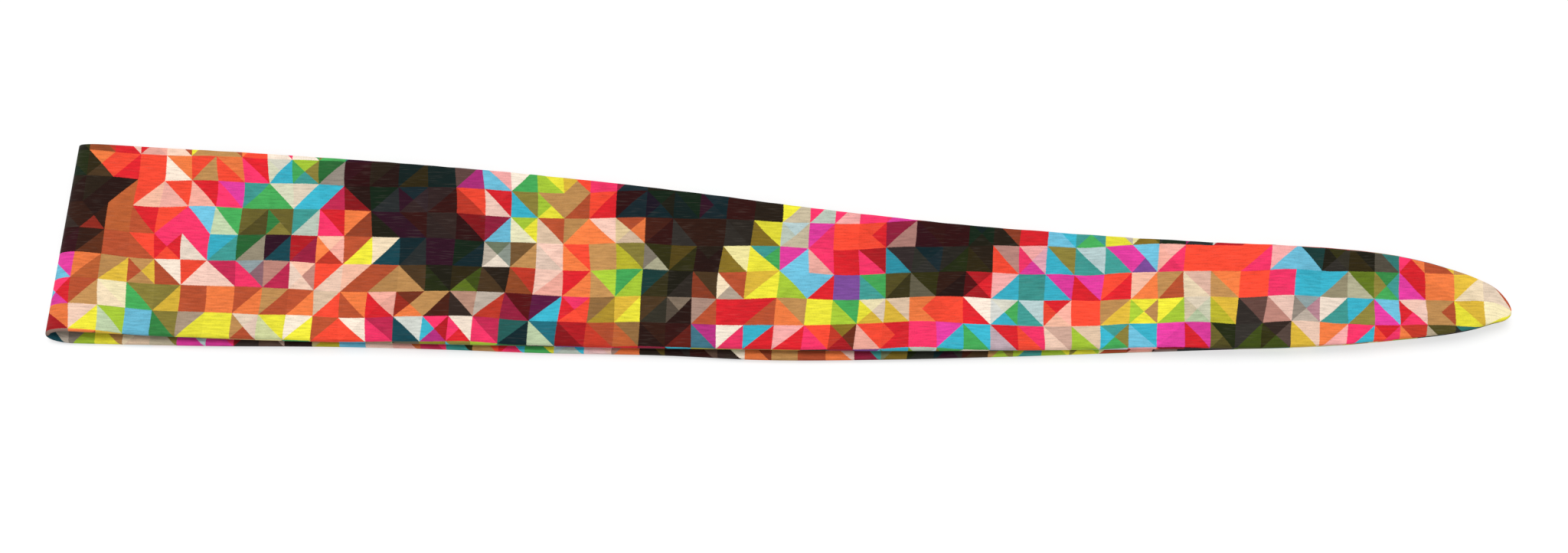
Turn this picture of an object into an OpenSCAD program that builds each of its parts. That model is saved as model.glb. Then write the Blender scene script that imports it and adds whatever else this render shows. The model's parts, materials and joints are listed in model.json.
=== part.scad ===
// Tie headband of printed stretch knit, folded in half at its centre and laid flat.
// One fabric panel is folded lengthwise along the front edge, overlocked along the back edge
// and round both tail ends, and turned right side out. Each half is then a flat sleeve that is
// closed at its tail end and open at the centre fold, where it meets the other half.
// X runs from the centre fold to the tail ends, Y from the folded edge to the seamed edge.
// The origin is on the resting surface, under the middle of the folded band.

/* [Band] */
// Length from the centre fold to the end of a tail
half_length = 508; // [400:1:640]
// Width at the centre fold
centre_width = 68.6; // [52:0.1:90]
// Width that the taper comes down to at the end of a tail, before the end is rounded
tail_width = 35; // [26:0.1:45]
// Length beside the centre fold that keeps the full width
straight_length = 30; // [10:1:80]
// Length of the rounded end of a tail
tip_length = 86; // [50:1:110]
// Shape of the rounded end: 2 is an ellipse, less is more pointed
tip_power = 2; // [1.4:0.1:2]

/* [Fabric] */
// Thickness of the knit fabric
ply = 0.55; // [0.4:0.05:0.8]
// Gap between the halves where one lies on the other
fold_gap = 0.6; // [0.3:0.1:3]
// How far the lower half lies in front of the upper half
under_shift = 1.8; // [0:0.1:4]

/* [Overlock seam] */
// Width of the seam edges that are turned inside
seam_allowance = 6; // [4:0.1:8]
// Thickness of the sewing thread
thread_d = 0.2; // [0.15:0.01:0.3]
// Length of one overlock stitch
stitch_length = 3.2; // [2.5:0.1:5]
// Clearance between the layers inside a sleeve
slip = 0.08; // [0.05:0.01:0.15]

/* [Closing stitches] */
// Distance from the centre fold to the first closing stitch
closing_start = 70; // [20:1:150]
// Number of closing stitches across the turning gap
closing_count = 12; // [6:1:20]
// Length of one closing stitch
closing_length = 2.2; // [1.5:0.1:3]
// Distance from one closing stitch to the next
closing_pitch = 3.6; // [3.2:0.1:6]

/* [Hidden] */

knit_colour = [0.86, 0.24, 0.26];
under_knit_colour = [0.20, 0.62, 0.70];
wrong_side_colour = [0.90, 0.88, 0.85];
thread_colour = [0.16, 0.14, 0.15];

// Thickness of a sleeve: two outer plies, two turned-in plies and a looper thread on each
sleeve_h = 4 * ply + 2 * thread_d + 4 * slip;
rim_r = sleeve_h / 2;
lining_r = rim_r - ply;
// Height of the plane where the two halves meet in the centre fold
mid_z = sleeve_h + fold_gap / 2;
tip_start = half_length - tip_length;

// Steps of the shape: round the edge, round the centre fold, along a tail, round a tail end
rim_step = 30;
fold_steps = 5;
tail_steps = 22;
tip_step = 10;
// Last angle of the tail end before the sleeve closes in a point, outside and inside
tip_end = 85;
lining_end = 75;

// The needle thread lies in the bend of the seam, and the turned-in edges start beside it
needle_inset = rim_r - sqrt(pow(lining_r, 2) - pow(thread_d / 2, 2)) + slip;
edges_inset = max(needle_inset + thread_d, rim_r - sqrt(pow(lining_r, 2) - pow(ply, 2))) + slip;
raw_inset = edges_inset + seam_allowance;
// Looper threads run from beside the needle thread to just past the raw edge
looper_far = ply + slip + thread_d;
looper_near_inset = rim_r - sqrt(pow(lining_r, 2) - pow(looper_far, 2)) + 2 * slip;
looper_raw_inset = raw_inset + thread_d;
looper_slope = (looper_raw_inset - looper_near_inset) / (stitch_length / 2);
looper_half = thread_d / 2 * sqrt(1 + pow(looper_slope, 2));
// Extra room that the layers inside keep from the point of a tail end
tip_room = 2.2;

// Half the width of the band at a distance from the centre fold
function half_w(x) =
    let (u = min(1, max(0, (x - straight_length) / (half_length - straight_length))))
    (tail_width + (centre_width - tail_width) * (1 + cos(180 * u)) / 2) / 2;

// Distances from the centre fold at which a tail is drawn
tail_xs = [for (i = [0:tail_steps]) mid_z + (tip_start - mid_z) * i / tail_steps];

// A point of the rounded tail end, from 0 at its seamed side through 90 at its point to 180
function tip_point(angle, inset, tip_inset) =
    let (x = tip_start + (tip_length - tip_inset) * pow(sin(angle), 2 / tip_power))
    [x, (half_w(x) - inset) * cos(angle)];

// The line of the seam, moved inwards: along the back edge and round the tail end
function seam_line(inset) = concat(
    [for (x = tail_xs) [x, half_w(x) - inset]],
    [for (a = [tip_step:tip_step:180]) tip_point(a, inset, inset + tip_room)]
);

function reversed(list) = [for (i = [len(list) - 1:-1:0]) list[i]];

// A strip that follows the seam between two insets
module seam_strip(near, far) {
    polygon(concat(seam_line(near), reversed(seam_line(far))));
}

// Number of half stitches along the tail and round its end
tail_halves = 2 * floor((tip_start - mid_z) / stitch_length);
tip_halves = 2 * round(2 * norm([tip_length, tail_width / 2]) / stitch_length);

// A point on the seam at a count of half stitches, moved inwards
function stitch_point(i, inset) =
    i <= tail_halves
    ? let (x = mid_z + (tip_start - mid_z) * i / tail_halves) [x, half_w(x) - inset]
    : tip_point(180 * (i - tail_halves) / tip_halves, inset, inset + tip_room);

// A looper thread: it goes to and fro between the seam and the raw edge
function looper_line(side) = [
    for (i = [0:tail_halves + tip_halves])
    stitch_point(i, (i % 2 == 0 ? looper_near_inset + looper_half : looper_raw_inset) + side)
];

module looper() {
    polygon(concat(looper_line(-looper_half), reversed(looper_line(looper_half))));
}

// Cross-section of a sleeve or of its inside: flat above and below, with round edges
function section(half, r) =
    let (flat = max(0, half - r), bend = min(r, half))
    [
        for (side = [0, 180], a = [-90:rim_step:90])
        [(side == 0 ? flat : -flat) + bend * cos(a + side), rim_r + bend * sin(a + side)]
    ];

// Turns a point of the section round the centre fold: 90 is where the halves meet, 0 the flat.
// The fold also carries the band sideways, by half of shift, so that the halves lie offset.
function fold_point(p, angle, shift) = [
    mid_z - (mid_z - p[1]) * sin(angle),
    p[0] + shift * angle / 180,
    mid_z - (mid_z - p[1]) * cos(angle)
];

// Rings of points from the centre fold to the tail end, inset by the fabric for the inside
function rings(inset, r, last_angle, shift) = concat(
    [
        for (i = [0:fold_steps - 1])
        let (angle = 90 * (1 - i / fold_steps))
        [for (p = section(centre_width / 2 - inset, r)) fold_point(p, angle, shift)]
    ],
    [for (x = tail_xs) [for (p = section(half_w(x) - inset, r)) [x, p[0], p[1]]]],
    [
        for (a = [tip_step:tip_step / 2:last_angle])
        let (t = tip_point(a, 0, 0))
        [for (p = section(t[1] - inset, r)) [t[0], p[0], p[1]]]
    ]
);

// Triangles between neighbouring rings of n points, the first ring starting at point `from`
function skin(from, count, n) = [
    for (k = [0:count - 2], i = [0:n - 1])
    let (a = from + k * n, j = (i + 1) % n)
    each [[a + i, a + j, a + n + i], [a + j, a + n + j, a + n + i]]
];

// Triangles from the last ring, starting at point `from`, to a point
function cone(from, n, tip) = [for (i = [0:n - 1]) [from + i, from + (i + 1) % n, tip]];

// Triangles across the open end, between the first rings outside and inside
function open_end(outside, inside, n) = [
    for (i = [0:n - 1])
    let (j = (i + 1) % n)
    each [
        [outside + i, inside + i, outside + j],
        [outside + j, inside + i, inside + j]
    ]
];

function flipped(faces) = [for (f = faces) [f[0], f[2], f[1]]];

// One half of the fabric tube, lying flat with its quarter of the centre fold
module sleeve(shift) {
    outer = rings(0, rim_r, tip_end, shift);
    inner = rings(ply, lining_r, lining_end, shift);
    n = len(outer[0]);
    inner_from = len(outer) * n;
    outer_tip = inner_from + len(inner) * n;
    inner_tip_x = tip_point(lining_end, 0, 0)[0] + ply;
    points = concat(
        [for (ring = outer) each ring],
        [for (ring = inner) each ring],
        [[half_length, 0, rim_r], [inner_tip_x, 0, rim_r]]
    );
    outside = concat(skin(0, len(outer), n), cone(inner_from - n, n, outer_tip));
    inside = concat(skin(inner_from, len(inner), n), cone(outer_tip - n, n, outer_tip + 1));
    polyhedron(points, concat(flipped(outside), inside, flipped(open_end(0, inner_from, n))), 10);
}

// The two raw edges of the panel, turned inside the seam and lying on each other
module seam_edges() {
    translate([0, 0, rim_r - ply]) linear_extrude(2 * ply) seam_strip(edges_inset, raw_inset);
}

module needle_thread() {
    translate([0, 0, rim_r - thread_d / 2])
        linear_extrude(thread_d) seam_strip(needle_inset, needle_inset + thread_d);
}

module outer_looper_thread() {
    translate([0, 0, rim_r - looper_far]) linear_extrude(thread_d) looper();
}

module inner_looper_thread() {
    translate([0, 0, rim_r + looper_far - thread_d]) linear_extrude(thread_d) looper();
}

// One stitch on the back edge, with a leg at each end that goes through the fabric
module closing_stitch(x) {
    lean = atan((half_w(x + closing_length) - half_w(x)) / closing_length);
    leg = thread_d + ply + slip / 2;
    translate([x, half_w(x), rim_r - thread_d / 2]) rotate(lean) {
        cube([closing_length, thread_d, thread_d]);
        for (end = [0, closing_length - thread_d])
            translate([end, thread_d - leg, 0]) cube([thread_d, leg, thread_d]);
    }
}

// Places a half that is drawn flat: the lower one as it is, the upper one turned over
module place_lower() {
    translate([-half_length / 2, -under_shift / 2, 0]) children();
}

module place_upper() {
    translate([-half_length / 2, under_shift / 2, 2 * mid_z]) mirror([0, 0, 1]) children();
}

module lower_sleeve() {
    color(under_knit_colour) place_lower() sleeve(under_shift);
}

module lower_seam_edges() {
    color(wrong_side_colour) place_lower() seam_edges();
}

module lower_needle_thread() {
    color(thread_colour) place_lower() needle_thread();
}

module lower_top_looper_thread() {
    color(thread_colour) place_lower() inner_looper_thread();
}

module lower_bottom_looper_thread() {
    color(thread_colour) place_lower() outer_looper_thread();
}

module closing_stitches() {
    color(thread_colour) place_lower()
        for (i = [0:closing_count - 1]) closing_stitch(closing_start + i * closing_pitch);
}

module upper_sleeve() {
    color(knit_colour) place_upper() sleeve(-under_shift);
}

module upper_seam_edges() {
    color(wrong_side_colour) place_upper() seam_edges();
}

module upper_needle_thread() {
    color(thread_colour) place_upper() needle_thread();
}

module upper_top_looper_thread() {
    color(thread_colour) place_upper() outer_looper_thread();
}

module upper_bottom_looper_thread() {
    color(thread_colour) place_upper() inner_looper_thread();
}

lower_sleeve();
lower_seam_edges();
lower_needle_thread();
lower_top_looper_thread();
lower_bottom_looper_thread();
closing_stitches();
upper_sleeve();
upper_seam_edges();
upper_needle_thread();
upper_top_looper_thread();
upper_bottom_looper_thread();
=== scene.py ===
import json
import math

import bmesh
import bpy
import numpy as np
from bpy.props import FloatProperty, FloatVectorProperty, IntProperty, PointerProperty
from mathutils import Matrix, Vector


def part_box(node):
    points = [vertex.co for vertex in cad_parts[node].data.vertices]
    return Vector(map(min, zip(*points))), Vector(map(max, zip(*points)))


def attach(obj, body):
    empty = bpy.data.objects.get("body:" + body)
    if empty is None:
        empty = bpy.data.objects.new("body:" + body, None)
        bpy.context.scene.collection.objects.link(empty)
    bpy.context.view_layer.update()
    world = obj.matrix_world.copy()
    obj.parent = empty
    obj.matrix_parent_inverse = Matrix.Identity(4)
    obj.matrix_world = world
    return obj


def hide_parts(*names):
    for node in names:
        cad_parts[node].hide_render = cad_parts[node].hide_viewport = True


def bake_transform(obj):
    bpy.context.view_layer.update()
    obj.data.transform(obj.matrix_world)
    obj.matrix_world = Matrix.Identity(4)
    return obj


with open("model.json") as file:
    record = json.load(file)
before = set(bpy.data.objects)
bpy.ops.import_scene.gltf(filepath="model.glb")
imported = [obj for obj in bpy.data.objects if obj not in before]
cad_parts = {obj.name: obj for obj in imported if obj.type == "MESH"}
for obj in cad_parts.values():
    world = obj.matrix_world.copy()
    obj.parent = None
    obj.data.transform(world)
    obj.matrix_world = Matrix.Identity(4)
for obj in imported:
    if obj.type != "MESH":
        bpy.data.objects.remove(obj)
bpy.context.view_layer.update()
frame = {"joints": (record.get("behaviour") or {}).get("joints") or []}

bl_info = {
    "name": "Tie Headband",
    "version": (1, 0, 0),
    "blender": (4, 5, 0),
    "location": "View3D > Sidebar > Headband",
    "description": "A printed stretch-knit tie headband, folded in half and laid flat",
    "category": "Add Mesh",
}

# The frame gives the box, the line of the centre fold and the length of a half.
FOLD_X, FOLD_Y, FOLD_Z = frame["joints"][0]["pos_m"]
LOWER_LOW, LOWER_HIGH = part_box("lower_sleeve")
HALF_LENGTH = LOWER_HIGH.x - LOWER_LOW.x
# The two halves of the band, and the two edges of a half.
LOWER = -1
UPPER = 1
FRONT = -1
BACK = 1
MM = 0.001

# How far each half lies to the back (+) or the front (-), at distances from the fold, in millimetres.
UPPER_SWAY = [
    (0, 0.9), (60, 1.1), (135, 1.5), (215, 0.7), (295, -0.2), (385, 0.9), (430, 2.1), (475, 3.6),
    (488, 3.3), (496, 3.1), (502, 2.8), (508, 0.7),
]
LOWER_SWAY = [
    (0, -2.4), (50, -1.0), (100, 0.5), (135, 0.5), (170, -0.3), (215, -1.0), (250, -2.6), (295, -2.4),
    (330, -1.5), (385, 0.8), (430, 3.1), (475, 5.1), (488, 4.8), (496, 4.5), (502, 4.1), (508, 2.0),
]
# How far the back edge of the upper half is drawn in (-) by its seam, at distances from the fold.
BACK_DRAW = [(0, 0), (120, -0.4), (200, -0.2), (280, -1.1), (330, -1.1), (400, -0.5), (440, 0), (508, 0)]
# Soft ripples of the top ply, in millimetres and degrees: distance from the fold, place across, height,
# length, width and turn.
RIPPLES = [
    (352, 4, 0.9, 9, 26, 24), (372, -3, 0.7, 11, 30, 18), (398, 2, 0.8, 10, 24, 28),
    (428, 3, 0.6, 12, 22, 15), (300, 8, 0.5, 14, 26, 30), (238, 12, 0.45, 16, 30, 20),
    (160, 18, 0.4, 18, 30, 25), (92, -16, 0.4, 20, 34, -18), (462, -2, 0.5, 10, 18, -20),
]
# Waves of the cloth: share, radians per metre along and across, start, and the size, radians per metre and
# start of their wander. The first make the top ply uneven, the others are drawn up by the seam's thread.
UNEVEN_WAVES = [
    (0.5, 25, -70, 2.8708, 0, 0, 0), (-0.5, 67, 70, 2.8708, 0, 0, 0), (0.6, 91, 55, 0.4, 0, 0, 0),
]
PUCKER_WAVES = [(0.6, 640, 210, 0, 2.6, 47, 0), (0.4, 410, -330, 0, 2.2, 31, 1.1)]

# Beside a seam its thickness reaches past the turned-in edges, then eases off; a folded edge eases off too.
SEAM_MARGIN = 0.0015
SEAM_EASE = 0.004
FRONT_EASE = 0.010
# Share of the tail end's length in which the folded front edge turns into the seam.
TIP_TURN = 0.4
# Room that the wrong side of the cloth and the turned-in edges keep from the groove of the seam.
LINING_ROOM = 0.0003
EDGE_ROOM = 0.0005
# Room between cloth and cloth, or cloth and thread, that lie on each other in the seam.
HAIR_GAP = 0.00002
# Rows of points crowd towards the middle of the fold, and columns towards the edges of the band.
LOOP_CROWDING = 1.6
EDGE_CROWDING = 0.4
# Fineness of the meshes: length of a row, rows in a tail end and in the bend of the fold, and for the panel
# the steps round an edge and across a face.
PRINTED_MESH = (0.0016, 44, 40, 6, 20)
LINING_MESH = (0.004, 20, 12, 3, 8)
EDGES_MESH = (0.003, 24, 40)
# Points closer than this are one.
MERGE_DISTANCE = 2e-6

# Lean of the columns of the print, in degrees.
LEAN_AT_FOLD = 2
LEAN_AT_TAIL = -9
# Chances are drawn for each half square of the print, and for a layer of half squares twice as large.
PATCH_SEED = 3.5
LAYER_SEED = 9.5
LAYER_SCALE = (0.5, 0.5, 0.5)
LAYER_SHIFT = (0.5, 0.0, 0.0)
# The loops of the knit roughen the edges of the patches, by a share of a patch, and the cloth draws them.
ROUGH_SCALE = 5600.0
ROUGH_EDGE = (0.045, 0.045, 0.0)
DRAWN_SCALE = 22.0
DRAWN_CLOTH = (0.006, 0.004, 0.0)
# Hue goes round the palette in drifts over the patches, and each patch and layer differs by a little.
HUE_SHIFT = (37.0, 11.0, 0.0)
HUE_SCALE = 0.16
HUE_RANGE = 2.4
HUE_START = 3.0
OWN_HUE = 0.2
LAYER_HUE = 0.16
# The same for the depth of the colour. The two halves of a square lie a little apart in both drifts.
DEPTH_SCALE = 0.21
OWN_DEPTH = 0.2
LAYER_DEPTH = 0.1
HALF_SHIFT = (0.35, 0.2, 0.0)
# Shares of cream in a patch and levels of light on it, each from the chance or depth where it starts.
CREAM_SHARES = [(0, 0), (0.78, 0.5), (0.9, 0.72), (0.975, 0.97)]
LIGHT_LEVELS = [(0, 1), (0.65, 0.55), (0.7, 0.3), (0.745, 0.12), (0.785, 0.03)]
# Least tone of a patch, and what its own chance and the layer's add.
LEAST_TONE = 0.84
OWN_TONE = 0.14
LAYER_TONE = 0.16

# Depth of the loops of the knit and of the fibres of the thread.
LOOP_RELIEF = 0.00012
FIBRE_RELIEF = 0.00004
# Streaks along the ribs: how many per metre, and how finely they change from rib to rib.
DARK_STREAKS = (240.0, 0.9)
YARN_STREAKS = (130.0, 1.3)


def length_of(name, description, default):
    """A length that a user may change."""
    return FloatProperty(
        name=name, description=description, default=default, min=0, unit="LENGTH", precision=5
    )


def linear(code):
    """Scene-linear colour of a six-digit colour code."""
    parts = [(code >> shift & 255) / 255 for shift in (16, 8, 0)]
    return [p / 12.92 if p <= 0.04045 else ((p + 0.055) / 1.055) ** 2.4 for p in parts]


def colour_of(name, description, code):
    """A colour that a user may change, from a six-digit colour code."""
    return FloatVectorProperty(
        name=name, description=description, default=linear(code), min=0, max=1, size=3, subtype="COLOR"
    )


def patch_of(name, code):
    """A colour of the patchwork."""
    return colour_of(name, "Colour of patches in the print", code)


class HeadbandSizes(bpy.types.PropertyGroup):
    """Sizes of the band and of its sewing."""

    half_length: length_of("Half length", "From the centre fold to the end of a tail", HALF_LENGTH)
    centre_width: length_of("Centre width", "Width at the centre fold", 0.0686)
    tail_width: length_of("Tail width", "Width that the taper comes down to", 0.035)
    straight_length: length_of("Straight length", "Length beside the fold that keeps the full width", 0.030)
    tip_length: length_of("Tip length", "Length of the rounded end of a tail", 0.086)
    tip_power: FloatProperty(
        name="Tip shape", description="2 is an ellipse, less is more pointed", default=2.0, min=1.2, max=2.5
    )
    ply: length_of("Ply", "Thickness of the knit fabric", 0.00052)
    seam_thickness: length_of("Seam thickness", "Thickness of a half beside its seam", 0.00272)
    pucker: length_of("Pucker", "How far the seam draws the cloth up or down", 0.0002)
    front_thickness: length_of("Front thickness", "Thickness of a half at its folded front edge", 0.0024)
    middle_thickness: length_of("Middle thickness", "Thickness of a half in its middle", 0.00175)
    uneven: length_of("Unevenness", "How far the top ply rises or sinks", 0.00016)
    fold_thickness: length_of("Fold thickness", "Thickness of the band in the centre fold", 0.0013)
    fold_skew: length_of("Fold skew", "How far the back end of the centre fold lies inwards", 0.002)
    loop_depth: length_of("Loop depth", "Length of the open loop of the centre fold", 0.009)
    settle_length: length_of("Settle length", "Where the upper half has come down on the lower half", 0.046)
    half_gap: length_of("Half gap", "Half the room between the two halves", 0.00025)
    seam_allowance: length_of("Seam allowance", "Width of the turned-in edges", 0.006)
    thread: length_of("Thread", "Thickness of the sewing thread", 0.0002)
    stitch_length: length_of("Stitch length", "Length of one overlock stitch", 0.0032)
    closing_start: length_of("Closing start", "From the centre fold to the first closing stitch", 0.070)
    closing_length: length_of("Closing length", "Length of one closing stitch", 0.0022)
    closing_pitch: length_of("Closing pitch", "From one closing stitch to the next", 0.0036)
    closing_count: IntProperty(
        name="Closing stitches", description="Number of stitches across the turning gap", default=12, min=1
    )


class HeadbandPrint(bpy.types.PropertyGroup):
    """Scale and colours of the patchwork print and of the sewing."""

    patch: length_of("Patch", "Side of one square of the patchwork", 0.0094)
    start_along: length_of("Start along", "Where the panel is cut along the printed cloth", 17.0328)
    start_across: length_of("Start across", "Where the panel is cut across the printed cloth", 1.35293)
    wale: length_of("Wale", "Pitch of the fine ribs of the knit", 0.00062)
    course: length_of("Course", "Pitch of the rows of loops of the knit", 0.0005)
    magenta: patch_of("Magenta", 0xE63CA0)
    hot_pink: patch_of("Hot pink", 0xFA3468)
    red: patch_of("Red", 0xE0202A)
    scarlet: patch_of("Scarlet", 0xFA4A32)
    orange: patch_of("Orange", 0xF57E42)
    rust: patch_of("Rust", 0xB8502E)
    tan: patch_of("Tan", 0xC08E54)
    gold: patch_of("Gold", 0xE4BC3C)
    lemon: patch_of("Lemon", 0xF0E83A)
    lime: patch_of("Lime", 0xA8CA36)
    olive: patch_of("Olive", 0x8C8038)
    green: patch_of("Green", 0x46AC58)
    teal: patch_of("Teal", 0x3F9A92)
    turquoise: patch_of("Turquoise", 0x3AB6CE)
    sky: patch_of("Sky", 0x70C2DE)
    violet: patch_of("Violet", 0x7B4A97)
    cream: colour_of("Cream", "Colour that the pale patches are thinned with", 0xF9E9D6)
    wrong_side: colour_of("Wrong side", "Unprinted side of the knit", 0xE6E0D8)
    thread: colour_of("Thread", "Sewing thread", 0x2B2829)


class HeadbandStage(bpy.types.PropertyGroup):
    """Camera, floor and light."""

    camera_place: FloatVectorProperty(
        name="Camera", description="Place of the camera", default=(0.0125, -0.2111, 0.7416), subtype="XYZ"
    )
    camera_aim: FloatVectorProperty(
        name="Aim", description="Point that the camera looks at", default=(0.0010, 0.0013, 0), subtype="XYZ"
    )
    lens: FloatProperty(
        name="Lens", description="Focal length on a 36 mm frame", default=50.4, unit="CAMERA"
    )
    sun: FloatProperty(name="Sun", description="Strength of the soft main light", default=1.55, min=0)
    sun_spread: FloatProperty(
        name="Sun spread", description="How wide the main light is",
        default=math.radians(36), unit="ROTATION",
    )
    sun_tilt: FloatVectorProperty(
        name="Sun tilt", description="How the main light is turned from straight down",
        default=(math.radians(-21), math.radians(-10), 0), subtype="EULER",
    )
    sky: FloatProperty(name="Sky", description="Strength of the light from all round", default=0.6, min=0)
    floor: colour_of("Floor", "Colour of the floor", 0xFAFAFA)


def smooth(share):
    """Eases a share from 0 to 1."""
    share = np.clip(share, 0, 1)
    return share * share * (3 - 2 * share)


def through(points, x):
    """A smooth curve through (distance, offset) points in millimetres, at distances in metres."""
    at, offset = np.array(points, float).T * MM
    slope = np.gradient(offset, at)
    i = np.clip(np.searchsorted(at, x) - 1, 0, len(at) - 2)
    step = at[i + 1] - at[i]
    t = np.clip((x - at[i]) / step, 0, 1)
    start = (1 + 2 * t) * (1 - t) ** 2 * offset[i] + t * (1 - t) ** 2 * step * slope[i]
    return start + t * t * (3 - 2 * t) * offset[i + 1] + t * t * (t - 1) * step * slope[i + 1]


def waves(parts, x, y):
    """A sum of waves over the cloth, from about -1 to 1."""
    total = np.zeros_like(x)
    for share, along, across, start, wander, wander_along, wander_start in parts:
        phase = start + wander * np.sin(wander_along * x + wander_start)
        total = total + share * np.sin(along * x + across * y + phase)
    return total


class BandShape:
    """Where the cloth lies. A point of the band has a half, a reach along the cloth from the middle of the
    centre fold, a place across it, and a rise from 0 on the half's inner face to 1 on its outer face."""

    def __init__(self, sizes):
        self.sizes = sizes
        self.tip_start = sizes.half_length - sizes.tip_length
        # A quarter of the way round the ellipse of the fold's loop.
        a, b = sizes.loop_depth, FOLD_Z
        self.loop_run = math.pi / 4 * (3 * (a + b) - math.sqrt((3 * a + b) * (a + 3 * b)))

    def reach_of(self, x):
        """Reach along the cloth at a flat distance from the fold edge."""
        return x - self.sizes.loop_depth + self.loop_run

    def flat_x(self, reach):
        """Flat distance from the fold edge at a reach along the cloth."""
        return reach - self.loop_run + self.sizes.loop_depth

    def taper(self, x):
        """Half the width at a distance from the fold, before the tail end is rounded."""
        s = self.sizes
        u = np.clip((x - s.straight_length) / (s.half_length - s.straight_length), 0, 1)
        return (s.tail_width + (s.centre_width - s.tail_width) * (1 + np.cos(math.pi * u)) / 2) / 2

    def half_width(self, x):
        """Half the width at a distance from the fold, with the rounded tail end."""
        u = np.clip((x - self.tip_start) / self.sizes.tip_length, 0, 1)
        return self.taper(x) * np.sqrt(1 - u ** self.sizes.tip_power)

    def outline(self, x, angle, inset):
        """A point of the outline, moved inwards: x is used up to the tail end, the angle in it."""
        s = self.sizes
        in_tip = self.tip_start + (s.tip_length - inset) * np.sin(angle) ** (2 / s.tip_power)
        x = np.where(angle > 0, in_tip, x)
        return x, (self.taper(x) - inset) * np.cos(angle)

    def seamed(self, x):
        """How far the front edge has turned from a plain fold into the seam of the tail end."""
        return smooth((x - self.tip_start) / (TIP_TURN * self.sizes.tip_length))

    def seam_line(self):
        """Inset of the seam from the edge of the band."""
        return self.sizes.seam_thickness / 4 + EDGE_ROOM

    def thickness(self, x, y):
        """Thickness of a half: more over the seam, less in the middle, least in the centre fold."""
        s = self.sizes
        out = smooth((x - s.loop_depth) / s.settle_length)
        middle = s.fold_thickness + (s.middle_thickness - s.fold_thickness) * out
        pressed = 0.5 + 0.5 * out
        front = middle + (s.front_thickness - s.middle_thickness) * pressed
        puckered = s.seam_thickness + s.pucker * waves(PUCKER_WAVES, x, y)
        seam = middle + (puckered - s.middle_thickness) * pressed
        from_back, from_front = self.half_width(x) - y, self.half_width(x) + y
        seam_reach = s.seam_allowance + SEAM_MARGIN
        over_seam = 1 - smooth((from_back - seam_reach) / SEAM_EASE)
        over_tip = self.seamed(x) * (1 - smooth((from_front - seam_reach) / SEAM_EASE))
        over_front = 1 - smooth(from_front / FRONT_EASE)
        plain = middle + (front - middle) * over_front
        return plain + (seam - plain) * np.maximum(over_seam, over_tip)

    def sway(self, half, x, turn, held):
        """How far the cloth lies to the back, from the lower half's place to the upper half's in the fold.
        Where it is held, near the seam's end of the fold, both halves lie as the upper half does."""
        upper, lower = through(UPPER_SWAY, x), through(LOWER_SWAY, x)
        lower = lower + (upper - lower) * held
        return (upper + lower) / 2 + half * (upper - lower) / 2 * np.sin(turn)

    def ripple(self, x, y):
        """Height of the soft ripples in the top ply of the upper half."""
        height = self.sizes.uneven * waves(UNEVEN_WAVES, x, y)
        for at, across, rise, long, wide, turn in RIPPLES:
            c, s = math.cos(math.radians(turn)), math.sin(math.radians(turn))
            dx, dy = x - at * MM, y - across * MM
            along, over = (dx * c + dy * s) / (long * MM), (dy * c - dx * s) / (wide * MM)
            height = height + rise * MM * np.cos(along * 2) * np.exp(-along ** 2 - over ** 2)
        return height

    def place(self, half, reach, y, rise):
        """The point in the frame."""
        s = self.sizes
        half, reach, y, rise = np.broadcast_arrays(half, reach, y, rise)
        past = np.maximum(reach - self.loop_run, 0)
        x = s.loop_depth + past
        turn = np.clip(reach / self.loop_run, 0, 1) * math.pi / 2
        thick = self.thickness(x, y)
        depth = (1 - rise) * thick
        along = s.loop_depth - (s.loop_depth - depth) * np.cos(turn) + past
        z = FOLD_Z + half * (FOLD_Z - depth) * np.sin(turn)
        settled = smooth(past / s.settle_length)
        drop = (2 * FOLD_Z - thick) - (FOLD_Z + s.half_gap)
        upper = (1 + half) / 2
        z = z - upper * settled * (drop - rise * self.ripple(x, y))
        back_share = (1 + y / self.taper(x)) / 2
        held = np.clip(back_share, 0, 1) * (1 - smooth(past / (2 * s.settle_length)))
        along = along + s.fold_skew * held
        y = y + upper * back_share * through(BACK_DRAW, x)
        return np.stack([FOLD_X + along, FOLD_Y + y + self.sway(half, x, turn, held), z], axis=-1)

    def opened(self, points):
        """The points with the centre fold opened flat."""
        gap = self.sizes.half_gap
        turn = smooth((points[..., 2] - FOLD_Z + gap) / (2 * gap)) * math.pi
        out, up = points[..., 0] - FOLD_X, points[..., 2] - FOLD_Z
        x = out * np.cos(turn) - up * np.sin(turn)
        z = out * np.sin(turn) + up * np.cos(turn)
        return np.stack([FOLD_X + x, points[..., 1], FOLD_Z + z], axis=-1)


def loop_rows(shape, loop_steps):
    """Flat distances of the rows in the bend of the fold, crowded at its middle, where the halves part."""
    shares = [(i / loop_steps) ** LOOP_CROWDING for i in range(loop_steps - 1, 0, -1)]
    return [shape.flat_x(shape.loop_run * share) for share in shares]


def stations(shape, step, tip_steps, loop_steps):
    """Half, flat distance and tail-end angle of the rings of the band, from one tail end to the other."""
    s = shape.sizes
    angles = [math.pi / 2 * i / tip_steps for i in range(tip_steps, 0, -1)]
    tip = [(shape.outline(0, a, 0)[0], a) for a in angles]
    run = shape.tip_start - s.loop_depth
    count = max(2, round(run / step))
    tail = [(s.loop_depth + run * i / count, 0) for i in range(count, -1, -1)]
    half = tip + tail + [(x, 0) for x in loop_rows(shape, loop_steps)]
    lower = [(LOWER, x, a) for x, a in half]
    upper = [(UPPER, x, a) for x, a in reversed(half)]
    return lower + [(UPPER, shape.flat_x(0), 0)] + upper


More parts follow.
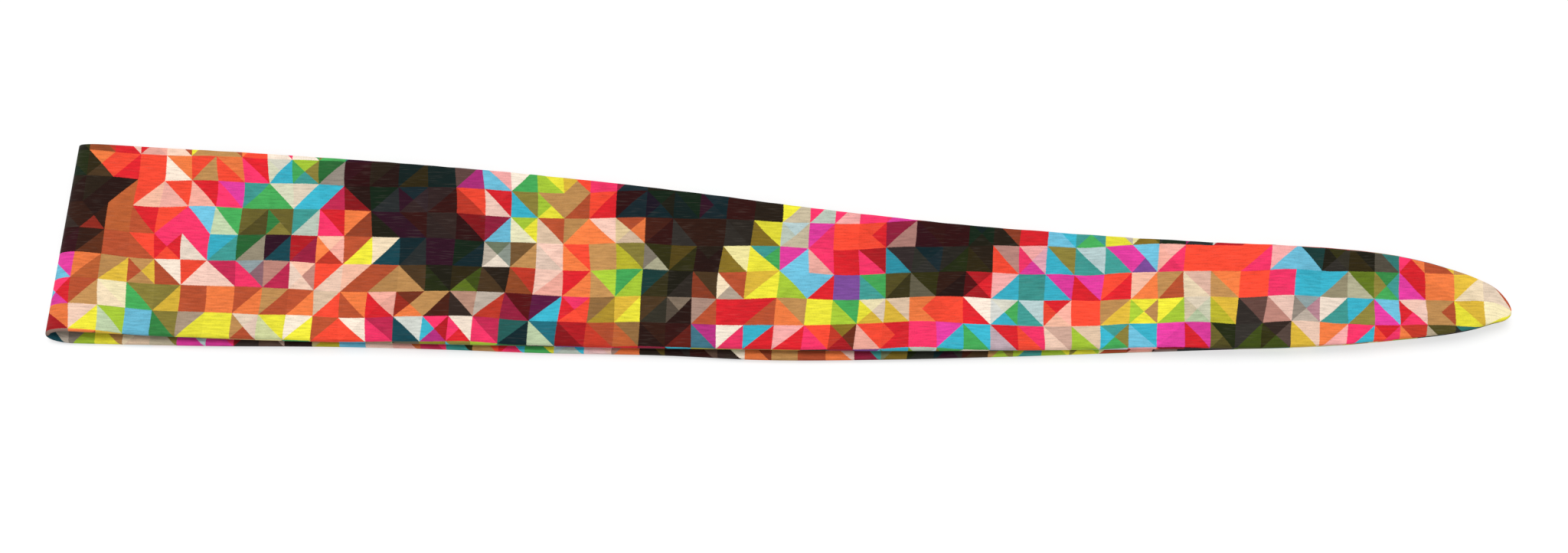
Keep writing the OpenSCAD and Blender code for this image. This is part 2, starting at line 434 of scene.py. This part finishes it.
def edge_profile(steps, thickness, seamed):
    """Inset and height of the points from the middle of an edge to a face, and their way to the face.
    A fold is one half round; a turned seam is two small rounds with a groove between them."""
    turn = np.linspace(0, math.pi / 2, steps + 1)
    roll = 2 * turn - math.pi / 2
    fold = np.stack([
        thickness / 2 * (1 - np.cos(turn)), np.sin(turn), thickness / 2 * (math.pi / 2 - turn)
    ])
    seam = np.stack([
        thickness / 4 * (1 - np.cos(roll)), (1 + np.sin(roll)) / 2, thickness / 4 * (math.pi / 2 - roll)
    ])
    return fold + (seam - fold) * seamed


def ring(shape, station, edge_steps, face_steps, lining):
    """Points of one ring as half, reach, place across and rise, and their distance from the front fold."""
    half, x, angle = station
    edges = {}
    for side in (BACK, FRONT):
        thick = float(shape.thickness(x, side * shape.half_width(x)))
        seamed = 1.0 if side == BACK else float(shape.seamed(x))
        inset, height, way = edge_profile(edge_steps, thick, 0.0 if lining else seamed)
        if lining:
            inside = (thick - 2 * lining) / thick
            height = height * inside
            inset = inset * inside + lining + seamed * (thick / 4 + LINING_ROOM - lining)
        at, y = shape.outline(x, angle, inset)
        edges[side] = (np.broadcast_to(at, y.shape), side * y, height, way)
    back, front = edges[BACK], edges[FRONT]
    even = np.arange(1, face_steps + 1) / (face_steps + 1)
    share = even + EDGE_CROWDING * ((1 - np.cos(math.pi * even)) / 2 - even)
    middle_at = back[0][-1] + (front[0][-1] - back[0][-1]) * share
    middle_y = back[1][-1] + (front[1][-1] - back[1][-1]) * share
    middle_height = 1 - 2 * lining / shape.thickness(middle_at, middle_y)
    middle = (middle_at, middle_y, middle_height, np.zeros(face_steps))
    outer = [np.concatenate(parts) for parts in zip(back, middle, [part[::-1] for part in front])]
    inner = [part[::-1][1:-1] for part in outer]
    at, y, _, way = (np.concatenate(parts) for parts in zip(outer, inner))
    rise = np.concatenate([0.5 + outer[2] / 2, 0.5 - inner[2] / 2])
    way = np.where(y > 0, way, -way)
    rolled = front[3][0] - (front[1][-1] - front[1][0])
    from_fold = np.clip(y, front[1][-1], back[1][-1]) + shape.taper(at) + rolled + way
    return half, shape.reach_of(at), y, rise, from_fold


def print_reach(shape, reach, points):
    """Distance along the print from the middle: as on the flat band, and in the fold as when it is open."""
    flat_step = np.diff(reach, axis=0)
    opened_step = np.linalg.norm(np.diff(shape.opened(points), axis=0), axis=-1)
    middle_of_step = (np.abs(reach[1:]) + np.abs(reach[:-1])) / 2
    steps = np.where(middle_of_step < shape.loop_run, opened_step, flat_step)
    run = np.concatenate([np.zeros_like(reach[:1]), np.cumsum(steps, axis=0)])
    middle = np.argmin(np.abs(reach[:, 0]))
    return run - run[middle]


def panel_on_image(reach, across, lining):
    """Places on a square image for baked colours: the upper half lies below the lower half, tail against
    fold, and the lining has a narrow strip beside them."""
    reach, across = reach / np.abs(reach).max(), across / np.abs(across).max()
    if lining:
        strip_middle, strip_half_width, strip_half_length = 0.98, 0.014, 0.49
        return np.stack([strip_middle + strip_half_width * across, 0.5 + strip_half_length * reach], -1)
    margin, length, row, row_half_width = 0.006, 0.95, 0.22, 0.272
    lower = reach.mean(axis=-1, keepdims=True) < 0
    along = margin + length * np.where(lower, 1 - np.abs(reach), np.abs(reach))
    return np.stack([along, 0.5 + np.where(lower, row, -row) + row_half_width * across], -1)


def ring_quads(count, around):
    """Faces between closed rings of points that follow each other, by ring and place in it."""
    j, i = np.meshgrid(np.arange(count - 1), np.arange(around), indexing="ij")
    this, following = j * around, (j + 1) * around
    beside = (i + 1) % around
    return np.stack([this + i, this + beside, following + beside, following + i], -1)


def rod_faces(count, around):
    """Faces of a rod of rings, with its two ends."""
    first = list(range(around))
    last = list(range((count - 1) * around, count * around))
    return ring_quads(count, around).reshape(-1, 4).tolist() + [first[::-1], last]


def closed_rings(shape, fineness, lining=0.0):
    """Points, faces and image layouts of the cloth's printed surface, or of its lining."""
    step, tip_steps, loop_steps, edge_steps, face_steps = fineness
    rings_at = stations(shape, step, tip_steps, loop_steps)
    rows = [ring(shape, station, edge_steps, face_steps, lining) for station in rings_at]
    half, reach, y, rise, from_fold = (np.array(part) for part in zip(*rows))
    half = half[:, None]
    points = shape.place(half, reach, y, rise)
    quads = ring_quads(*reach.shape)
    if lining:
        quads = quads[..., ::-1]
    first_inner = 2 * edge_steps + face_steps + 1
    side = np.where(np.arange(reach.shape[1]) < first_inner, 1, -1)[:, None]
    flat_reach = print_reach(shape, half * reach, points).reshape(-1)[quads]
    flat_across = from_fold.reshape(-1)[quads] * side
    to_tail = np.clip(np.abs(flat_reach) / shape.sizes.half_length, 0, 1)
    lean = np.radians(LEAN_AT_FOLD + (LEAN_AT_TAIL - LEAN_AT_FOLD) * to_tail)
    layouts = {
        "print_layout": np.stack([flat_reach + flat_across * np.tan(lean), flat_across], -1).reshape(-1, 2),
        "OFBake": panel_on_image(flat_reach, flat_across, lining).reshape(-1, 2),
    }
    return points.reshape(-1, 3), quads.reshape(-1, 4), layouts


def new_object(context, name, points, faces, materials):
    """A smooth mesh object in the scene."""
    mesh = bpy.data.meshes.new(name)
    mesh.from_pydata(points.tolist(), [], faces)
    for material in materials:
        mesh.materials.append(material)
    mesh.polygons.foreach_set("use_smooth", [True] * len(mesh.polygons))
    obj = bpy.data.objects.new(name, mesh)
    context.scene.collection.objects.link(obj)
    return obj


def merge_points(mesh, distance):
    """Joins the points of the tail ends that lie on each other."""
    work = bmesh.new()
    work.from_mesh(mesh)
    bmesh.ops.remove_doubles(work, verts=work.verts, dist=distance)
    bmesh.ops.dissolve_degenerate(work, edges=work.edges, dist=distance / 10)
    work.to_mesh(mesh)
    work.free()
    mesh.update()


def follow_fold(piece):
    """Bakes the piece's place in the scene into its points, so that it lies in the frame's coordinates."""
    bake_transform(piece)


def tube(path, radius, sides, twist=0.0, groove=0.0):
    """A thread along a path. With a groove, as a share of its radius, and a twist, in turns per metre, it
    has two strands."""
    path = np.asarray(path, float)
    ahead = np.gradient(path, axis=0)
    ahead /= np.linalg.norm(ahead, axis=1)[:, None]
    run = np.concatenate([[0], np.cumsum(np.linalg.norm(np.diff(path, axis=0), axis=1))])
    leaning_up = (0.0, 0.3, 1.0)
    side = np.cross(ahead[0], leaning_up)
    around = np.arange(sides) * 2 * math.pi / sides
    rings = []
    for point, forward, at in zip(path, ahead, run):
        side = side - forward * (side @ forward)
        side /= np.linalg.norm(side)
        up = np.cross(forward, side)
        strand = around - at * twist * 2 * math.pi
        r = radius * (1 - groove * np.sin(strand) ** 2)
        rings.append(point + np.outer(r * np.cos(around), side) + np.outer(r * np.sin(around), up))
    return np.concatenate(rings), rod_faces(len(rings), sides)


def seam_path(shape, step, tip_steps, loop_steps=0):
    """Stations of the seam, from the front of one tail end round it and along the back edge to the other.
    They are evenly spaced up to the middle of the fold, or crowd in its bend in a number of loop steps."""
    run_out = shape.loop_run if loop_steps else 0.0
    run = shape.reach_of(shape.tip_start) - run_out
    count = max(2, round(run / step))
    turns = [(shape.tip_start, math.pi / 2 * i / tip_steps) for i in range(tip_steps + 1)]
    tail = [shape.flat_x(run_out + run * i / count) for i in range(count, 0, -1)]
    if loop_steps:
        tail += [shape.flat_x(run_out)] + loop_rows(shape, loop_steps)
    front = [(FRONT, x, a) for x, a in turns]
    back = [(BACK, x, a) for x, a in reversed(turns[1:-1])] + [(BACK, x, 0) for x in tail]
    half = front + back
    lower = [(LOWER, side, x, a) for side, x, a in half]
    upper = [(UPPER, side, x, a) for side, x, a in reversed(half)]
    return lower + [(UPPER, BACK, shape.flat_x(0), 0)] + upper


def seam_points(shape, path, inset, lift):
    """Points beside the seam: inset from the edge, and lifted from a half's middle to its outer face."""
    half, side, x, angle = (np.array(v, float) for v in zip(*path))
    at, y = shape.outline(x, angle, inset)
    y = y * side
    return shape.place(half, shape.reach_of(at), y, 0.5 + lift / shape.thickness(at, y))


class Nodes:
    """The node tree of a material or of the world, written as plain calls."""

    def __init__(self, owner):
        self.owner = owner
        owner.use_nodes = True
        self.tree = owner.node_tree
        self.tree.nodes.clear()

    def add(self, kind, settings=None, **inputs):
        node = self.tree.nodes.new(kind)
        for key, value in (settings or {}).items():
            setattr(node, key, value)
        for key, value in inputs.items():
            self.set(node.inputs[key.replace("_", " ")], value)
        return node

    def set(self, socket, value):
        if isinstance(value, bpy.types.NodeSocket):
            self.tree.links.new(value, socket)
        else:
            socket.default_value = value

    def set_all(self, sockets, values):
        for socket, value in zip(sockets, values):
            self.set(socket, value)

    def math(self, operation, *values, kind="ShaderNodeMath"):
        node = self.add(kind, {"operation": operation})
        self.set_all(node.inputs, values)
        return node.outputs[0]

    def vector(self, operation, *values):
        return self.math(operation, *values, kind="ShaderNodeVectorMath")

    def split(self, vector):
        return self.add("ShaderNodeSeparateXYZ", Vector=vector).outputs

    def join(self, x, y, z):
        return self.add("ShaderNodeCombineXYZ", X=x, Y=y, Z=z).outputs[0]

    def mix(self, share, a, b, blend="MIX"):
        node = self.add("ShaderNodeMix", {"data_type": "RGBA", "blend_type": blend})
        self.set_all((node.inputs[0], node.inputs[6], node.inputs[7]), (share, a, b))
        return node.outputs[2]

    def matt(self, colour, roughness, height, strength, relief):
        """A matt surface with a fine relief."""
        bump = self.add("ShaderNodeBump", Strength=strength, Distance=relief, Height=height).outputs[0]
        return self.add("ShaderNodeBsdfPrincipled", Base_Color=colour, Roughness=roughness, Normal=bump)

    def shaded(self, colour, shade):
        """The colour times a plain number."""
        return self.mix(1.0, colour, self.join(shade, shade, shade), "MULTIPLY")

    def above(self, value, level):
        """How far the value is above the level, or 0."""
        return self.math("MAXIMUM", self.math("SUBTRACT", value, level), 0.0)

    def noise(self, vector, scale, detail=0.0, dimensions="2D"):
        settings = {"noise_dimensions": dimensions}
        return self.add("ShaderNodeTexNoise", settings, Vector=vector, Scale=scale, Detail=detail).outputs

    def jitter(self, vector, scale, detail=0.0):
        """A noise vector round 0."""
        return self.vector("SUBTRACT", self.noise(vector, scale, detail)[1], (0.5, 0.5, 0.5))

    def streaks(self, along, rib, per_metre, scale):
        """Noise that is drawn out along the ribs of the knit."""
        return self.noise(self.join(self.math("MULTIPLY", along, per_metre), rib, 0.0), scale, 1.0)[0]

    def chances(self, vector):
        """Three random numbers for each whole-numbered vector."""
        node = self.add("ShaderNodeTexWhiteNoise", {"noise_dimensions": "3D"}, Vector=vector)
        return self.split(node.outputs["Color"])

    def steps(self, value, stops):
        """One colour after the other as the value passes the start of each, with hard edges."""
        node = self.add("ShaderNodeValToRGB", Fac=value)
        node.color_ramp.interpolation = "CONSTANT"
        for i, (start, colour) in enumerate(stops):
            stop = node.color_ramp.elements[i] if i < 2 else node.color_ramp.elements.new(start)
            stop.position = start
            stop.color = (*colour, 1)
        return node.outputs[0]

    def grey_steps(self, value, stops):
        """The same for a plain number."""
        return self.steps(value, [(start, (level,) * 3) for start, level in stops])

    def seen(self):
        """1 for what the camera sees, directly or in a reflection."""
        rays = self.add("ShaderNodeLightPath").outputs
        mirrored = self.math("MAXIMUM", rays["Is Glossy Ray"], rays["Is Transmission Ray"])
        return self.math("MAXIMUM", rays["Is Camera Ray"], mirrored)

    def finish(self, shader, output="ShaderNodeOutputMaterial"):
        self.add(output, Surface=shader)
        return self.owner


def knit_height(nodes, look, along, across):
    """Height of the knit: ribs along the band, each a row of loops with two slanted legs."""
    leg_place, leg_slant, loop_depth = 0.85, 0.6, 0.28
    from_rib = nodes.math("SUBTRACT", nodes.math("FRACT", nodes.math("DIVIDE", across, look.wale)), 0.5)
    from_middle = nodes.math("MULTIPLY", nodes.math("ABSOLUTE", from_rib), 2.0)
    from_leg = nodes.math("MULTIPLY_ADD", from_middle, 2.0, -leg_place)
    leg = nodes.math("SUBTRACT", 1.0, nodes.math("POWER", nodes.math("ABSOLUTE", from_leg), 2.0))
    slanted = nodes.math("MULTIPLY_ADD", from_middle, leg_slant, nodes.math("DIVIDE", along, look.course))
    loop = nodes.math("SINE", nodes.math("MULTIPLY", slanted, 2 * math.pi))
    return nodes.math("MULTIPLY", leg, nodes.math("MULTIPLY_ADD", loop, loop_depth, 1 - loop_depth))


def half_squares(nodes, place, seed):
    """Squares cut in two along one diagonal or the other: the square, the half and the half's chances."""
    cell = nodes.vector("FLOOR", place)
    inside = nodes.split(nodes.vector("FRACTION", place))
    spot = nodes.split(cell)
    falls = nodes.math("GREATER_THAN", nodes.chances(nodes.join(spot[0], spot[1], seed))[0], 0.5)
    over_rising = nodes.math("GREATER_THAN", nodes.math("ADD", inside[0], inside[1]), 1.0)
    over_falling = nodes.math("GREATER_THAN", inside[0], inside[1])
    half = nodes.math("MULTIPLY_ADD", nodes.math("SUBTRACT", over_falling, over_rising), falls, over_rising)
    number = nodes.join(spot[0], spot[1], nodes.math("ADD", half, seed + 1.0))
    return cell, half, nodes.chances(number)


def palette(look):
    """The bright colours in a round, each with its start: the second number is its share of the print."""
    shares = [
        (look.magenta, 4), (look.hot_pink, 9), (look.red, 10), (look.scarlet, 10), (look.orange, 9),
        (look.rust, 8), (look.tan, 8), (look.gold, 5), (look.lemon, 7), (look.lime, 5), (look.olive, 6),
        (look.green, 5), (look.teal, 5), (look.turquoise, 7), (look.sky, 3), (look.violet, 1),
    ]
    total = sum(share for _, share in shares)
    starts = np.cumsum([0] + [share for _, share in shares[:-1]]) / total
    return [(start, colour) for start, (colour, _) in zip(starts, shares)]


def patch_colour(nodes, look, cloth):
    """Patchwork of half squares in clusters of related colours, under a layer of larger half squares."""
    place = nodes.vector("DIVIDE", cloth, (look.patch,) * 3)
    place = nodes.vector("MULTIPLY_ADD", nodes.jitter(cloth, ROUGH_SCALE), ROUGH_EDGE, place)
    cell, half, own = half_squares(nodes, place, PATCH_SEED)
    layer_place = nodes.vector("MULTIPLY_ADD", place, LAYER_SCALE, LAYER_SHIFT)
    layer = half_squares(nodes, layer_place, LAYER_SEED)[2]
    spot = nodes.vector("MULTIPLY_ADD", nodes.join(half, half, 0.0), HALF_SHIFT, cell)
    hue_drift = nodes.noise(nodes.vector("ADD", spot, HUE_SHIFT), HUE_SCALE)[0]
    hue = nodes.math("MULTIPLY_ADD", hue_drift, HUE_RANGE, HUE_START)
    hue = nodes.math("MULTIPLY_ADD", own[0], OWN_HUE, hue)
    hue = nodes.math("MULTIPLY_ADD", layer[0], LAYER_HUE, hue)
    bright = nodes.steps(nodes.math("FRACT", hue), palette(look))
    colour = nodes.mix(nodes.grey_steps(own[2], CREAM_SHARES), bright, (*look.cream, 1))
    depth = nodes.math("MULTIPLY_ADD", layer[1], LAYER_DEPTH, nodes.noise(spot, DEPTH_SCALE)[0])
    depth = nodes.math("MULTIPLY_ADD", own[1], OWN_DEPTH, depth)
    colour = nodes.mix(1.0, colour, nodes.grey_steps(depth, LIGHT_LEVELS), "MULTIPLY")
    tone = nodes.math("MULTIPLY_ADD", own[1], OWN_TONE, LEAST_TONE)
    return nodes.shaded(colour, nodes.math("MULTIPLY_ADD", layer[2], LAYER_TONE, tone))


def knit_shade(nodes, along, across, rib, height):
    """How light the knit is coloured: painted shade darkens the dips between its loops, and the knit is
    streaked along its ribs and stippled.
    """
    least, painted_loop_shade, streak_light = 0.66, 0.14, 0.48
    dot_scale, dot_level, dot_dark = 2300.0, 0.55, -0.4
    # Painted shade: the colour is darker where the knit's relief is low, between its loops.
    shade = nodes.math("MULTIPLY_ADD", height, painted_loop_shade, least)
    shade = nodes.math("MULTIPLY_ADD", nodes.streaks(along, rib, *DARK_STREAKS), streak_light, shade)
    dots = nodes.above(nodes.noise(nodes.join(along, across, 0.0), dot_scale)[0], dot_level)
    return nodes.math("MULTIPLY_ADD", dots, dot_dark, shade)


def patchwork_jersey(look):
    """Matt stretch jersey with a patchwork print, which lets the pale yarn show a little along its ribs."""
    yarn_level, yarn_share = 0.56, 0.08
    nodes = Nodes(bpy.data.materials.new("patchwork_jersey"))
    layout = nodes.add("ShaderNodeUVMap", {"uv_map": "print_layout"}).outputs[0]
    along, across, _ = nodes.split(layout)
    rib = nodes.math("DIVIDE", across, look.wale)
    height = knit_height(nodes, look, along, across)
    cloth = nodes.vector("MULTIPLY_ADD", nodes.jitter(layout, DRAWN_SCALE, 1.0), DRAWN_CLOTH, layout)
    cloth = nodes.vector("ADD", cloth, (look.start_along, look.start_across, 0.0))
    # The print is darkened by painted shade between the knit's loops, and by the knit's streaks and
    # stipple.
    colour = nodes.shaded(patch_colour(nodes, look, cloth), knit_shade(nodes, along, across, rib, height))
    yarn = nodes.above(nodes.streaks(along, rib, *YARN_STREAKS), yarn_level)
    colour = nodes.mix(nodes.math("MULTIPLY", yarn, yarn_share), colour, (*look.cream, 1))
    jersey = nodes.matt(colour, roughness=0.82, height=height, strength=0.35, relief=LOOP_RELIEF)
    jersey.inputs["Specular IOR Level"].default_value = 0.12
    jersey.inputs["Sheen Weight"].default_value = 0.12
    jersey.inputs["Sheen Roughness"].default_value = 0.45
    return nodes.finish(jersey.outputs[0])


def jersey_wrong_side(look):
    """Unprinted wrong side of the jersey, with its rows of loops and painted shade between them."""
    least, painted_loop_shade = 0.84, 0.14
    nodes = Nodes(bpy.data.materials.new("jersey_wrong_side"))
    x, y, z = nodes.split(nodes.add("ShaderNodeTexCoord").outputs["Object"])
    height = knit_height(nodes, look, x, nodes.math("ADD", y, z))
    # Painted shade: the colour is darker where the loops' relief is low.
    colour = nodes.shaded((*look.wrong_side, 1), nodes.math("MULTIPLY_ADD", height, painted_loop_shade, least))
    jersey = nodes.matt(colour, roughness=0.9, height=height, strength=0.4, relief=LOOP_RELIEF)
    return nodes.finish(jersey.outputs[0])


def spun_thread(look):
    """Spun polyester thread with its fine fibres."""
    fibre_scale, least, fibre_light = 9000.0, 0.55, 0.9
    nodes = Nodes(bpy.data.materials.new("spun_thread"))
    place = nodes.add("ShaderNodeTexCoord").outputs["Object"]
    fibre = nodes.noise(place, fibre_scale, 2.0, "3D")[0]
    colour = nodes.shaded((*look.thread, 1), nodes.math("MULTIPLY_ADD", fibre, fibre_light, least))
    thread = nodes.matt(colour, roughness=0.6, height=fibre, strength=0.4, relief=FIBRE_RELIEF)
    thread.inputs["Sheen Weight"].default_value = 0.2
    return nodes.finish(thread.outputs[0])


def white_floor(stage):
    """White floor that keeps a soft shadow: to the camera it is partly lit by itself."""
    bounce_grey, lit_share, glow_strength = 0.8, 0.44, 0.6
    nodes = Nodes(bpy.data.materials.new("white_floor"))
    bounce = nodes.add("ShaderNodeBsdfDiffuse", Color=(*[bounce_grey] * 3, 1)).outputs[0]
    lit = nodes.add("ShaderNodeBsdfDiffuse", Color=(*[c * lit_share for c in stage.floor], 1)).outputs[0]
    glow = nodes.add("ShaderNodeEmission", Color=(1, 1, 1, 1), Strength=glow_strength).outputs[0]
    shown = nodes.add("ShaderNodeAddShader")
    nodes.set_all(shown.inputs, (lit, glow))
    both = nodes.add("ShaderNodeMixShader")
    nodes.set_all(both.inputs, (nodes.seen(), bounce, shown.outputs[0]))
    return nodes.finish(both.outputs[0])


def studio_world(stage):
    """Even light from all round, white where it is seen."""
    nodes = Nodes(bpy.data.worlds.new("studio"))
    strength = nodes.add(
        "ShaderNodeMapRange", {"clamp": False}, Value=nodes.seen(), To_Min=stage.sky, To_Max=1.0
    )
    sky = nodes.add("ShaderNodeBackground", Color=(1, 1, 1, 1), Strength=strength.outputs[0])
    return nodes.finish(sky.outputs[0], "ShaderNodeOutputWorld")


def material_of(make, look):
    """The material that a function makes, made on its first use."""
    return bpy.data.materials.get(make.__name__) or make(look)


def band_of(context):
    """Sizes, print and shape of the band."""
    sizes = context.scene.headband_sizes
    return sizes, context.scene.headband_print, BandShape(sizes)


class HEADBAND_OT_stage(bpy.types.Operator):
    """Makes the camera, the white floor and the soft light"""

    bl_idname = "headband.stage"
    bl_label = "Stage"

    def execute(self, context):
        scene = context.scene
        stage = scene.headband_stage
        scene.view_settings.view_transform = "Standard"
        camera = bpy.data.objects.new("camera", bpy.data.cameras.new("camera"))
        camera.data.lens = stage.lens
        camera.data.sensor_width = 36
        camera.data.clip_start = 0.01
        camera.location = stage.camera_place
        aim = Vector(stage.camera_aim) - Vector(stage.camera_place)
        camera.rotation_euler = aim.to_track_quat("-Z", "Y").to_euler()
        scene.collection.objects.link(camera)
        scene.camera = camera

        reach, drop = 20.0, 0.0001
        corners = np.array([(-1, -1, 0), (1, -1, 0), (1, 1, 0), (-1, 1, 0)]) * reach - (0, 0, drop)
        floor = new_object(context, "floor", corners, [(0, 1, 2, 3)], [white_floor(stage)])

        sun = bpy.data.objects.new("softbox", bpy.data.lights.new("softbox", "SUN"))
        sun.data.energy = stage.sun
        sun.data.angle = stage.sun_spread
        sun.rotation_euler = stage.sun_tilt
        scene.collection.objects.link(sun)

        scene.world = studio_world(stage)
        return {"FINISHED"}


class HEADBAND_OT_printed_panel(bpy.types.Operator):
    """Makes the printed fabric panel: one sleeve from tail end to tail end, folded in half"""

    bl_idname = "headband.printed_panel"
    bl_label = "Printed panel"

    def execute(self, context):
        sizes, look, shape = band_of(context)
        points, faces, layouts = closed_rings(shape, PRINTED_MESH)
        lining_points, lining_faces, lining_layouts = closed_rings(shape, LINING_MESH, sizes.ply)
        all_points = np.concatenate([points, lining_points])
        all_faces = np.concatenate([faces, lining_faces + len(points)]).tolist()
        materials = [material_of(patchwork_jersey, look), material_of(jersey_wrong_side, look)]
        panel = new_object(context, "printed_panel", all_points, all_faces, materials)
        mesh = panel.data
        mesh.polygons.foreach_set("material_index", [0] * len(faces) + [1] * len(lining_faces))
        for name in layouts:
            places = np.concatenate([layouts[name], lining_layouts[name]])
            layer = mesh.uv_layers.new(name=name)
            layer.data.foreach_set("uv", places.astype(np.float32).ravel())
        merge_points(mesh, MERGE_DISTANCE)
        follow_fold(panel)
        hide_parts("lower_sleeve", "upper_sleeve")
        return {"FINISHED"}


class HEADBAND_OT_turned_in_edges(bpy.types.Operator):
    """Makes the raw edges of the panel that are turned inside the seam"""

    bl_idname = "headband.turned_in_edges"
    bl_label = "Turned-in edges"

    def execute(self, context):
        sizes, look, shape = band_of(context)
        path = seam_path(shape, *EDGES_MESH)
        near = shape.seam_line()
        far = near + sizes.seam_allowance
        bulge = sizes.ply * 0.1
        points, faces = [], []
        for face in (1, -1):
            low, high = face * HAIR_GAP, face * sizes.ply
            profile = [(near, low), (far, low), (far + bulge, (low + high) / 2), (far, high), (near, high)]
            rows = np.stack([seam_points(shape, path, inset, lift) for inset, lift in profile], axis=1)
            start = sum(len(part) for part in points)
            points.append(rows.reshape(-1, 3))
            faces += [[start + i for i in corners[::-face]] for corners in rod_faces(*rows.shape[:2])]
        material = material_of(jersey_wrong_side, look)
        edges = new_object(context, "turned_in_edges", np.concatenate(points), faces, [material])
        follow_fold(edges)
        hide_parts("lower_seam_edges", "upper_seam_edges")
        return {"FINISHED"}


class HEADBAND_OT_seam_threads(bpy.types.Operator):
    """Makes the three threads of the overlock seam, inside the sleeve"""

    bl_idname = "headband.seam_threads"
    bl_label = "Seam threads"

    def execute(self, context):
        sizes, look, shape = band_of(context)
        material = material_of(spun_thread, look)
        points_per_stitch, points_in_tip, sides = 6, 240, 5
        path = seam_path(shape, sizes.stitch_length / points_per_stitch, points_in_tip)
        stitch = np.arange(len(path)) / points_per_stitch * 2 * math.pi
        near = shape.seam_line()

        needle_room, needle_sway = 0.8 * sizes.thread, 0.15 * sizes.thread
        needle_inset = near - needle_room
        needle_lift = needle_sway * np.sin(stitch)

        # The loopers go over the turned-in edges and back.
        half_span = (sizes.seam_allowance + sizes.thread) / 2
        looper_sway = 0.882 * half_span
        looper_inset = near + half_span + looper_sway * np.sin(stitch)
        looper_lift = sizes.ply + sizes.thread / 2 + HAIR_GAP

        threads = [
            ("needle_thread", needle_inset, needle_lift, ("lower_needle_thread", "upper_needle_thread")),
            ("outer_looper_thread", looper_inset, looper_lift,
             ("lower_bottom_looper_thread", "upper_top_looper_thread")),
            ("inner_looper_thread", looper_inset, -looper_lift,
             ("lower_top_looper_thread", "upper_bottom_looper_thread")),
        ]
        for name, inset, lift, stands_for in threads:
            line = seam_points(shape, path, inset, lift)
            thread = new_object(context, name, *tube(line, sizes.thread / 2, sides), [material])
            follow_fold(thread)
            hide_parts(*stands_for)
        return {"FINISHED"}


class HEADBAND_OT_closing_stitches(bpy.types.Operator):
    """Makes the hand stitches that close the turning gap in the back edge of the lower half"""

    bl_idname = "headband.closing_stitches"
    bl_label = "Closing stitches"

    def execute(self, context):
        sizes, look, shape = band_of(context)
        seen_inset, hidden_inset = -0.4 * sizes.thread, 3 * sizes.thread
        seen_shares, hidden_shares = np.linspace(0, 1, 15), np.linspace(0.15, 0.85, 5)
        dive_share = 0.16
        slant = sizes.seam_thickness / 4
        hidden_length = sizes.closing_pitch - sizes.closing_length
        xs, insets, lifts = [], [], []
        for i in range(sizes.closing_count):
            start = sizes.closing_start + i * sizes.closing_pitch
            for share in seen_shares:
                dive = 1 - smooth(min(share, 1 - share) / dive_share)
                xs.append(start + sizes.closing_length * share)
                insets.append(seen_inset + (hidden_inset - seen_inset) * dive)
                lifts.append((0.5 - share) * slant)
            for share in hidden_shares:
                xs.append(start + sizes.closing_length + hidden_length * share)
                insets.append(hidden_inset)
                lifts.append((share - 0.5) * slant)
        path = [(LOWER, BACK, x, 0) for x in xs]
        line = seam_points(shape, path, np.array(insets), np.array(lifts))
        twisted = tube(line, 0.6 * sizes.thread, sides=10, twist=1100.0, groove=0.22)
        thread = new_object(context, "closing_thread", *twisted, [material_of(spun_thread, look)])
        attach(thread, "lower_half")
        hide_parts("closing_stitches")
        return {"FINISHED"}


class HEADBAND_PT_pieces(bpy.types.Panel):
    """Lists the pieces of the headband and their sizes"""

    bl_idname = "HEADBAND_PT_pieces"
    bl_label = "Tie Headband"
    bl_space_type = "VIEW_3D"
    bl_region_type = "UI"
    bl_category = "Headband"

    def draw(self, context):
        for operator in OPERATORS:
            self.layout.operator(operator.bl_idname)
        for name in GROUPS:
            group = getattr(context.scene, name)
            box = self.layout.box()
            for key in group.__annotations__:
                box.prop(group, key)


OPERATORS = (
    HEADBAND_OT_stage,
    HEADBAND_OT_printed_panel,
    HEADBAND_OT_turned_in_edges,
    HEADBAND_OT_seam_threads,
    HEADBAND_OT_closing_stitches,
)
GROUPS = {
    "headband_sizes": HeadbandSizes,
    "headband_print": HeadbandPrint,
    "headband_stage": HeadbandStage,
}


def register():
    for group in GROUPS.values():
        bpy.utils.register_class(group)
    for name, group in GROUPS.items():
        setattr(bpy.types.Scene, name, PointerProperty(type=group))
    for operator in OPERATORS:
        bpy.utils.register_class(operator)
    bpy.utils.register_class(HEADBAND_PT_pieces)


def unregister():
    bpy.utils.unregister_class(HEADBAND_PT_pieces)
    for operator in reversed(OPERATORS):
        bpy.utils.unregister_class(operator)
    for name in GROUPS:
        delattr(bpy.types.Scene, name)
    for group in reversed(list(GROUPS.values())):
        bpy.utils.unregister_class(group)


def main():
    register()
    bpy.ops.headband.stage()
    bpy.ops.headband.printed_panel()
    bpy.ops.headband.turned_in_edges()
    bpy.ops.headband.seam_threads()
    bpy.ops.headband.closing_stitches()


if __name__ == "__main__":
    main()
